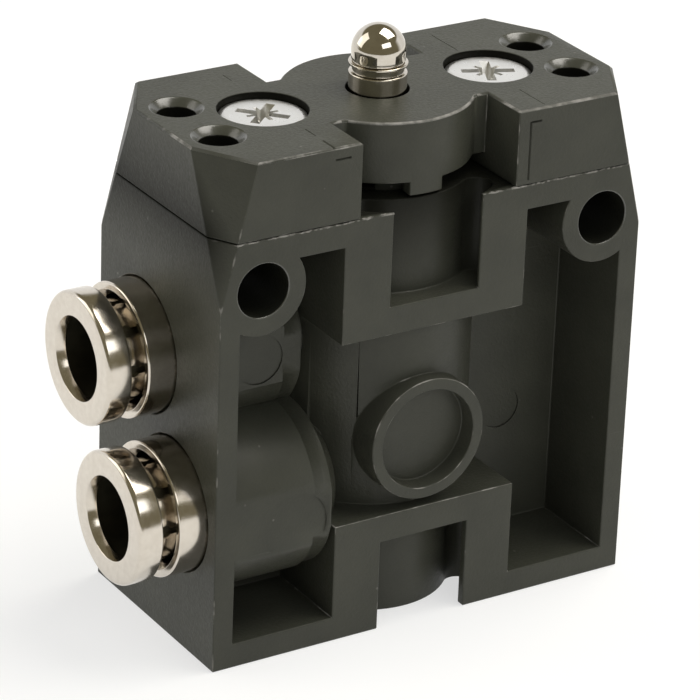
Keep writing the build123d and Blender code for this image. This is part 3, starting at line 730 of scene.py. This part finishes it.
# %% [markdown]
# ## Turned pieces
# Fittings and plunger are turned on a lathe, so each is one closed outline swept round its axis.
# The outline's corners are rounded one by one, each with its own radius, as a turner breaks them.

# %% A lathe
FINE_ROUNDS, COARSE_ROUNDS = 144, 96
CORNER_STEPS = 6
ON_AXIS = 1e-4


def rounded_outline(corners):
    """A closed outline with rounded corners, from (along, radius, rounding) in mm."""
    points = []
    for i, (along, radius, rounding) in enumerate(corners):
        here = Vector((along, radius))
        if not rounding:
            points.append(here)
            continue
        back = (Vector(corners[i - 1][:2]) - here).normalized()
        ahead = (Vector(corners[(i + 1) % len(corners)][:2]) - here).normalized()
        half_angle = back.angle(ahead) / 2
        centre = here + (back + ahead).normalized() * rounding / sin(half_angle)
        first = (here + back * rounding / tan(half_angle) - centre).normalized()
        last = (here + ahead * rounding / tan(half_angle) - centre).normalized()
        points += [centre + first.slerp(last, k / CORNER_STEPS) * rounding
                   for k in range(CORNER_STEPS + 1)]
    return points


def turned(name, outline, along, rounds=FINE_ROUNDS):
    """Sweeps an outline round the X or the Z axis. A point on the axis becomes a pole."""
    shape = bmesh.new()
    rings = []
    for distance, radius in outline:
        ring = []
        for k in range(rounds if radius > ON_AXIS else 1):
            u, v = radius * cos(2 * pi * k / rounds), radius * sin(2 * pi * k / rounds)
            ring.append(shape.verts.new((distance, u, v) if along == "X" else (u, v, distance)))
        rings.append(ring)
    for ring, other in zip(rings, rings[1:] + rings[:1]):
        if len(ring) == len(other) == 1:
            continue
        for k in range(rounds):
            m = (k + 1) % rounds
            corners = [ring[k % len(ring)], ring[m % len(ring)],
                       other[m % len(other)], other[k % len(other)]]
            shape.faces.new(list(dict.fromkeys(corners)))
    bmesh.ops.recalc_face_normals(shape, faces=shape.faces)
    return linked(name, shape)


# %% [markdown]
# ## Geometry Nodes
# What repeats by a rule is made by Geometry Nodes: the collet's finger slots, the pair of screws
# with their threads, and the spring coils. A small helper starts a tree with named inputs, and
# another runs a tree on a piece and keeps its result as a plain mesh.

# %% Starting and running a tree


def start_tree(name, inputs):
    """A tree with a geometry input and these named inputs: gives tree, group input and output."""
    tree = bpy.data.node_groups.new(name, "GeometryNodeTree")
    tree.interface.new_socket("Geometry", in_out="INPUT", socket_type="NodeSocketGeometry")
    for label, kind in inputs.items():
        tree.interface.new_socket(label, in_out="INPUT", socket_type="NodeSocket" + kind)
    tree.interface.new_socket("Geometry", in_out="OUTPUT", socket_type="NodeSocketGeometry")
    return tree, add_node(tree, "NodeGroupInput").outputs, add_node(tree, "NodeGroupOutput")


def run_tree(piece, tree, values):
    """Runs a tree on a piece with values for its named inputs, and keeps the plain mesh."""
    modifier = piece.modifiers.new(tree.name, "NODES")
    modifier.node_group = tree
    for item in tree.interface.items_tree:
        if item.in_out == "INPUT" and item.name in values:
            modifier[item.identifier] = values[item.name]
    return settled(piece)


def end_tree(tree, geometry, finish, end):
    """Closes a tree with Realize Instances and Set Material."""
    real = add_node(tree, "GeometryNodeRealizeInstances", {0: geometry})
    painted = add_node(tree, "GeometryNodeSetMaterial",
                       {"Geometry": real.outputs[0], "Material": finish})
    tree.links.new(painted.outputs[0], end.inputs[0])
    print("Tree", tree.name, "with", len(tree.nodes), "nodes")


# %% [markdown]
# ## Finger slots
# A collet's sleeve is slit into eight springy fingers. Each slit starts in a small drilled hole,
# which keeps it from tearing further, and those holes show in the gap behind the release disc.
# The tree makes one slitting blade and one drill, repeats both round the axis and cuts with them.

# %% Slitting tree
slitting, given, end = start_tree("finger_slots", {
    "Finger Count": "Int", "Slot Width": "Float", "Slot Start": "Float", "Slot End": "Float",
    "Drill Radius": "Float", "Cut Inside": "Float", "Cut Outside": "Float", "Finish": "Material",
})
slot_long = calculate(slitting, "SUBTRACT", given["Slot End"], given["Slot Start"])
cut_tall = calculate(slitting, "SUBTRACT", given["Cut Outside"], given["Cut Inside"])
slot_middle = calculate(slitting, "MULTIPLY_ADD", slot_long, 0.5, given["Slot Start"])
cut_middle = calculate(slitting, "MULTIPLY_ADD", cut_tall, 0.5, given["Cut Inside"])
blade = add_node(slitting, "GeometryNodeMeshCube",
                 {"Size": combine(slitting, slot_long, given["Slot Width"], cut_tall)})
drill = add_node(slitting, "GeometryNodeMeshCylinder",
                 {"Vertices": 32, "Radius": given["Drill Radius"], "Depth": cut_tall})
step = calculate(slitting, "DIVIDE", 2 * pi, given["Finger Count"])
number = add_node(slitting, "GeometryNodeInputIndex").outputs[0]
turns = combine(slitting, calculate(slitting, "MULTIPLY", number, step))
spots = add_node(slitting, "GeometryNodePoints", {"Count": given["Finger Count"]})
slit = given["Geometry"]
for tool, along in ((blade, slot_middle), (drill, given["Slot Start"])):
    raised = add_node(slitting, "GeometryNodeTransform", {
        "Geometry": tool.outputs["Mesh"], "Translation": combine(slitting, along, 0, cut_middle)})
    ring = add_node(slitting, "GeometryNodeInstanceOnPoints", {
        "Points": spots.outputs[0], "Instance": raised.outputs[0], "Rotation": turns})
    cutters = add_node(slitting, "GeometryNodeRealizeInstances", {0: ring.outputs[0]})
    cut = add_node(slitting, "GeometryNodeMeshBoolean",
                   {"Mesh 1": slit, "Mesh 2": cutters.outputs[0]},
                   operation="DIFFERENCE", solver="EXACT")
    slit = cut.outputs["Mesh"]
end_tree(slitting, slit, given["Finish"], end)

# %% [markdown]
# ## Push-in fittings
# A push-in fitting holds a plastic tube by a collet. The disc on its outer end is pressed in to
# let the tube go. The cartridge round it is pressed into the body, and its mouth is funnel
# shaped. Both are turned brass with satin nickel plate, and the inside of the fingers is painted
# dark as painted shade. An outline's corners are given as (along, radius, rounding) in mm.

# %% Fittings
# A port's place is given as (y, z) in mm.
PORTS = {"supply": (-1.8, 8.0), "outlet": (1.8, 15.75)}
LAND_END, LINER_RADIUS, SLOT_FLOOR = -16.35, 2.36, 2.44
SHADE_RADIUS, SHADE_START = SLOT_FLOOR + 0.1, LAND_END + 0.02
COLLET_OUTLINE = rounded_outline([
    (-16.9, 2.32, 0.05), (-16.9, 3.65, 0.24), (-15.5, 3.65, 0.14), (-15.5, 2.75, 0.06),
    (-11.15, 2.75, 0.1), (-10.7, 3.1, 0.1), (-9.9, 3.1, 0.08), (-9.9, 2.12, 0.05),
    (-10.8, 2.12, 0.05), (-11.1, LINER_RADIUS, 0.05), (LAND_END + 0.05, LINER_RADIUS, 0.03),
    (LAND_END, 2.12, 0.04),
])
CARTRIDGE_OUTLINE = rounded_outline([
    (-14.6, 3.3, 0.05), (-14.1, 2.95, 0.1), (-12.1, 2.95, 0.1), (-10.8, 3.3, 0.1),
    (-8.2, 3.3, 0.0), (-8.2, 3.7, 0.05), (-14.6, 3.7, 0.12),
])

for port, spot in PORTS.items():
    collet = turned(f"{port}_release_collet", COLLET_OUTLINE, "X")
    run_tree(collet, slitting, {
        "Finger Count": 8, "Slot Width": 0.38, "Slot Start": -14.95, "Slot End": -9.5,
        "Drill Radius": 0.34, "Cut Inside": SLOT_FLOOR, "Cut Outside": 3.5, "Finish": satin_nickel,
    })
    placed(collet, (0, *spot))
    dressed(collet, satin_nickel, f"{port}_collet", f"{port}_collet")
    # The inside of the fingers is painted dark as shade.
    collet.data.materials.append(bore_shade_metal)
    for face in collet.data.polygons:
        x, y, z = face.center / MM
        off_axis = Vector((y - spot[0], z - spot[1])).length
        face.material_index = int(off_axis < SHADE_RADIUS and x > SHADE_START)
    cartridge = turned(f"{port}_socket_cartridge", CARTRIDGE_OUTLINE, "X")
    placed(cartridge, (0, *spot))
    dressed(cartridge, satin_nickel, f"{port}_cartridge", "housing")

# %% [markdown]
# ## Plunger
# The plunger is turned steel: a polished dome, a shoulder with a ring groove under it, and inside
# the cap a stop flange and a skirt that holds the hollow stem. The dome's arc is sampled finely,
# because a polished ball shows the smallest flat.

# %% Plunger
SKIRT_FOOT, STEM_SOCKET, STEM_SOCKET_TOP = 24.6, 1.13, 26.45
DOME_TOP, DOME_RADIUS, DOME_STEPS = 32.27, 1.47, 28
dome_arc = [Vector((DOME_TOP - DOME_RADIUS + DOME_RADIUS * sin(a), DOME_RADIUS * cos(a)))
            for a in (pi / 2 * k / DOME_STEPS for k in range(DOME_STEPS + 1))]
dome_arc[-1] = Vector((DOME_TOP, 0))
plunger_outline = rounded_outline([
    (STEM_SOCKET_TOP, 0, 0), (STEM_SOCKET_TOP, STEM_SOCKET, 0.03), (SKIRT_FOOT, STEM_SOCKET, 0.05),
    (SKIRT_FOOT, 1.75, 0.12), (26.6, 1.75, 0.08), (26.6, 2.6, 0.06), (27.35, 2.6, 0.08),
    (27.35, 1.57, 0.05), (29.64, 1.57, 0.08), (29.70, 1.40, 0.03), (30.01, 1.40, 0.03),
    (30.05, 1.59, 0.05), (30.20, 1.59, 0.05), (30.23, 1.37, 0.02), (30.36, 1.37, 0.02),
    (30.39, DOME_RADIUS, 0.03),
]) + dome_arc
plunger = turned("domed_plunger", plunger_outline, "Z")
placed(plunger, sharp=50)
dressed(plunger, polished_steel, "plunger", "plunger_set")

# %% [markdown]
# ## Cap screws
# Two zinc plated pan head screws with a star shaped cross recess hold the cap. Each has a coarse
# thread for plastic. One head is turned with its recess cut by tapered wings, a triangular ridge
# is swept along a helix for the thread, and a Geometry Nodes tree sets the screw down twice, each
# time turned as the screwdriver left it.

# %% Screw head with its recess
HEAD_TOP, HEAD_SEAT, HEAD_RADIUS = 28.42, 26.95, 2.36
POINT_END, CORE_RADIUS = 20.45, 0.92

# The recess is cut by four wings, each given as (angle in degrees, width, length, depth). A wing
# stands a little out of the head, where it is wider, and its lower end is narrower.
WINGS = ((0, 0.50, 2.85, 1.25), (90, 0.50, 2.85, 1.25),
         (45, 0.24, 1.90, 0.60), (135, 0.24, 1.90, 0.60))
WING_ABOVE, WING_UPPER_SCALE, WING_LOWER_SCALE = 0.1, 1.05, 0.60
WING_FACES = ((0, 3, 2, 1), (4, 5, 6, 7), (0, 1, 5, 4), (1, 2, 6, 5), (2, 3, 7, 6), (3, 0, 4, 7))

head_outline = rounded_outline([
    (POINT_END, 0, 0), (POINT_END, 0.25, 0), (POINT_END + 0.9, CORE_RADIUS, 0.1),
    (HEAD_SEAT, CORE_RADIUS, 0.05), (HEAD_SEAT, HEAD_RADIUS, 0.06),
    (HEAD_TOP - 0.12, HEAD_RADIUS, 0.08), (HEAD_TOP, HEAD_RADIUS - 0.30, 0.4), (HEAD_TOP, 0, 0),
])
screw = turned("cap_screw_pair", head_outline, "Z", COARSE_ROUNDS)
for angle, wide, long, deep in WINGS:
    wing_shape = bmesh.new()
    corners = [wing_shape.verts.new((x * long / 2 * scale, y * wide / 2 * scale, HEAD_TOP + z))
               for scale, z in ((WING_LOWER_SCALE, -deep), (WING_UPPER_SCALE, WING_ABOVE))
               for x, y in ((-1, -1), (1, -1), (1, 1), (-1, 1))]
    for face in WING_FACES:
        wing_shape.faces.new([corners[i] for i in face])
    bmesh.ops.rotate(wing_shape, verts=wing_shape.verts,
                     matrix=Matrix.Rotation(radians(angle), 3, "Z"))
    cut_away(screw, linked("recess_wing", wing_shape))
print("Screw with its recess:", len(screw.data.polygons), "faces")

# %% Threads and the two places
screws, given, end = start_tree("threaded_screws", {
    "Thread Pitch": "Float", "Thread Turns": "Float", "Core Radius": "Float",
    "Crest Radius": "Float", "Thread Foot": "Float", "Pitch Of Holes": "Float",
    "Left Turn": "Float", "Right Turn": "Float", "Finish": "Material",
})
helix = add_node(screws, "GeometryNodeCurveSpiral", {
    "Resolution": 32, "Rotations": given["Thread Turns"], "Start Radius": given["Core Radius"],
    "End Radius": given["Core Radius"],
    "Height": calculate(screws, "MULTIPLY", given["Thread Pitch"], given["Thread Turns"])})
ridge_high = calculate(screws, "SUBTRACT", given["Crest Radius"], given["Core Radius"])
ridge = add_node(screws, "GeometryNodeCurvePrimitiveCircle",
                 {"Resolution": 4, "Radius": ridge_high})
ridges = add_node(screws, "GeometryNodeCurveToMesh", {
    "Curve": helix.outputs[0], "Profile Curve": ridge.outputs[0], "Fill Caps": True})
thread = add_node(screws, "GeometryNodeTransform", {
    "Geometry": ridges.outputs[0], "Translation": combine(screws, 0, 0, given["Thread Foot"])})
one_screw = add_node(screws, "GeometryNodeJoinGeometry", {0: thread.outputs[0]})
screws.links.new(given["Geometry"], one_screw.inputs[0])
left_end = calculate(screws, "MULTIPLY", given["Pitch Of Holes"], -0.5)
pair = add_node(screws, "GeometryNodeMeshLine", {
    "Count": 2, "Start Location": combine(screws, left_end),
    "Offset": combine(screws, given["Pitch Of Holes"])})
number = add_node(screws, "GeometryNodeInputIndex").outputs[0]
turn = map_range(screws, number, 0, 1, given["Left Turn"], given["Right Turn"])
both = add_node(screws, "GeometryNodeInstanceOnPoints", {
    "Points": pair.outputs[0], "Instance": one_screw.outputs[0],
    "Rotation": combine(screws, 0, 0, turn)})
end_tree(screws, both.outputs[0], given["Finish"], end)

# %% Finished screws
# The recess painted darker as shade: its radius, and where it starts and ends below the head's top.
RECESS_RADIUS, RECESS_START, RECESS_DEEP = 1.6, 0.02, 1.4

run_tree(screw, screws, {
    "Thread Pitch": 0.75, "Thread Turns": 6.0, "Core Radius": 0.90, "Crest Radius": 1.14,
    "Thread Foot": 21.5, "Pitch Of Holes": 2 * SCREW_X, "Left Turn": radians(43),
    "Right Turn": radians(66), "Finish": zinc_plate,
})
placed(screw, sharp=30)
dressed(screw, zinc_plate, "cap_screws", "housing")
# The recess is painted darker as shade.
screw.data.materials.append(recess_shade_zinc)
for face in screw.data.polygons:
    x, y, z = face.center / MM
    off_axis = Vector((abs(x) - SCREW_X, y)).length
    face.material_index = int(off_axis < RECESS_RADIUS
                              and HEAD_TOP - RECESS_DEEP < z < HEAD_TOP - RECESS_START)

# %% [markdown]
# ## Springs
# Both springs are coiled from round wire, with the last turns closed so that they stand flat. The
# tree bends a flat many-turned circle upwards by one rule: the turn at either end rises by little
# more than the wire's thickness, and the free turns share what height is left. A spring shortens
# when the valve is worked.

# %% Coil tree
CLOSED_PITCH = 2.06  # in radii of the wire, so that closed turns just clear each other

coiling, given, end = start_tree("closed_end_coil", {
    "Coil Radius": "Float", "Wire Radius": "Float", "Free Height": "Float", "Turns": "Float",
    "Closed Turns": "Float", "Foot": "Float", "Finish": "Material",
})
circle = add_node(coiling, "GeometryNodeCurveSpiral", {
    "Resolution": 40, "Height": 0, "Rotations": given["Turns"],
    "Start Radius": given["Coil Radius"], "End Radius": given["Coil Radius"]})
along = add_node(coiling, "GeometryNodeSplineParameter").outputs["Factor"]
turned_so_far = calculate(coiling, "MULTIPLY", along, given["Turns"])
closed_rise = calculate(coiling, "MULTIPLY", given["Wire Radius"], CLOSED_PITCH)
closed_tall = calculate(coiling, "MULTIPLY", closed_rise, given["Closed Turns"])
wires = calculate(coiling, "MULTIPLY", given["Wire Radius"], 2)
centre_tall = calculate(coiling, "SUBTRACT", given["Free Height"], wires)
free_tall = calculate(coiling, "MULTIPLY_ADD", closed_tall, -2, centre_tall)
last_free = calculate(coiling, "SUBTRACT", given["Turns"], given["Closed Turns"])
start_height = calculate(coiling, "ADD", given["Foot"], given["Wire Radius"])
rises = [map_range(coiling, turned_so_far, first, last, 0, tall) for first, last, tall in (
    (0, given["Closed Turns"], closed_tall),
    (given["Closed Turns"], last_free, free_tall),
    (last_free, given["Turns"], closed_tall),
)]
height = rises[0]
for part in (rises[1], rises[2], start_height):
    height = calculate(coiling, "ADD", height, part)
wire_line = add_node(coiling, "GeometryNodeSetPosition", {
    "Geometry": circle.outputs[0], "Offset": combine(coiling, 0, 0, height)})
wire_round = add_node(coiling, "GeometryNodeCurvePrimitiveCircle",
                      {"Resolution": 14, "Radius": given["Wire Radius"]})
wire = add_node(coiling, "GeometryNodeCurveToMesh", {
    "Curve": wire_line.outputs[0], "Profile Curve": wire_round.outputs[0], "Fill Caps": True})
end_tree(coiling, wire.outputs[0], given["Finish"], end)

# %% Springs
SPRINGS = {
    "plunger_spring": dict(radius=2.25, wire=0.2, foot=20.8, tall=5.8, turns=6.5,
                           body="plunger_set", joint="plunger_press", travel=2.0),
    "poppet_spring": dict(radius=1.45, wire=0.15, foot=1.5, tall=7.5, turns=8.5,
                          body="poppet_set", joint="poppet_lift", travel=1.38),
}

for node, spring in SPRINGS.items():
    coil = linked(f"closed_{node}", bmesh.new())
    run_tree(coil, coiling, {
        "Coil Radius": spring["radius"], "Wire Radius": spring["wire"],
        "Free Height": spring["tall"], "Turns": spring["turns"], "Closed Turns": 1.0,
        "Foot": spring["foot"], "Finish": spring_wire,
    })
    placed(coil, sharp=60)
    dressed(coil, spring_wire, node, spring["body"])
    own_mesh(coil)

# %% [markdown]
# ## Seal rings
# The static rings and the tube seals are rubber rings with a round section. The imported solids
# have eight sided sections, which is enough to collide with. Here each is turned with a smooth
# circular section of the same size, as near to groove and bore as the solid.

# %% Seal rings
RING_SECTION_STEPS = 24


def ring_outline(middle, radius, section):
    """A circle of points: the ring's own section, in (along, radius)."""
    return [Vector((middle + section * cos(a), radius + section * sin(a)))
            for a in (2 * pi * k / RING_SECTION_STEPS for k in range(RING_SECTION_STEPS))]


SEAL_RINGS = [
    ("carrier_oring", "Z", (0, 0, 0), ring_outline(19.5, 3.45, 0.33)),
    ("seat_oring", "Z", (0, 0, 0), ring_outline(12.0, 3.05, 0.33)),
    *((f"{port}_tube_seal", "X", (0, *spot), ring_outline(-7.6, 2.57, 0.55))
      for port, spot in PORTS.items()),
]
for node, axis, centre, outline in SEAL_RINGS:
    ring = turned(f"round_{node}", outline, axis, COARSE_ROUNDS)
    placed(ring, centre, 60)
    dressed(ring, nitrile_rubber, node, "housing")

# %% [markdown]
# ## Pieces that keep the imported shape
# The pieces inside the barrel are plain turned brass, steel and rubber, and their solids already
# have the right shape. They stay as they are and only get their finish.

# %% Finishes of the inner pieces
INNER_FINISHES = {
    "exhaust_stem": polished_steel, "seal_carrier": turned_brass, "spacer_cage": turned_brass,
    "seat_ring": turned_brass, "poppet": turned_brass, "supply_backing_ring": turned_brass,
    "outlet_backing_ring": turned_brass, "poppet_seal": nitrile_rubber,
    "stem_seal": nitrile_rubber,
}
for node, finish in INNER_FINISHES.items():
    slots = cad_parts[node].data.materials
    slots.clear()
    slots.append(finish)
print("Finished inside:", len(INNER_FINISHES))
